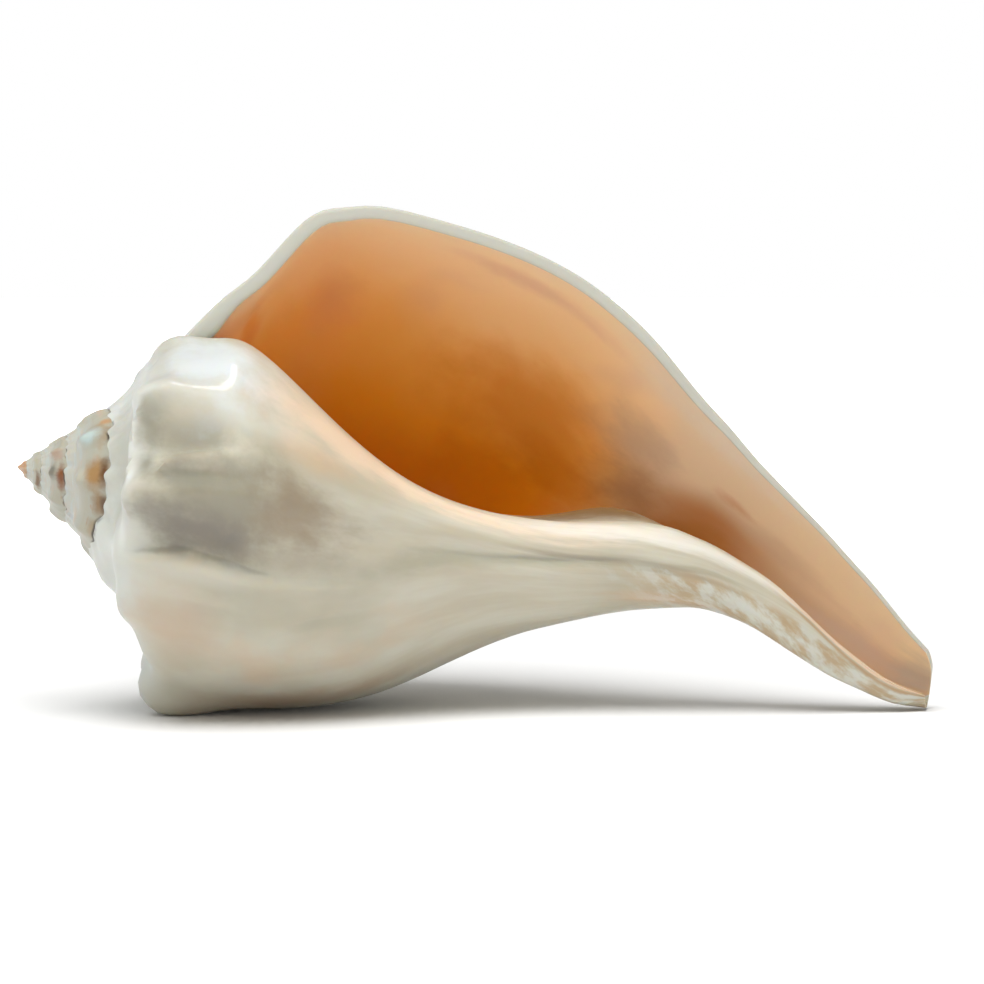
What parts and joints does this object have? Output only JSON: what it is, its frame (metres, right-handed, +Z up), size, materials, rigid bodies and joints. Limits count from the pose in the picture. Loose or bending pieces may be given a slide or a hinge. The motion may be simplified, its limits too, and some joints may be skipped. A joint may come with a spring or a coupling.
{
  "type": "whelk shell",
  "caption": "Large knobbed whelk seashell lying on its side, with a coiled spire, a wide open aperture and a long tapering open canal.",
  "frame": {"origin": "centre of the bounding box's base, on the surface that the shell lies on", "axes": "+X from the apex towards the end of the canal, +Y away from the open side of the aperture, +Z up"},
  "size_m": [0.1944, 0.0946, 0.1078],
  "materials": {
    "whelk_shell": "glossy, polished natural shell"
  },
  "bodies": {
    "root": {"whelk_shell": "whelk_shell"}
  },
  "joints": []
}
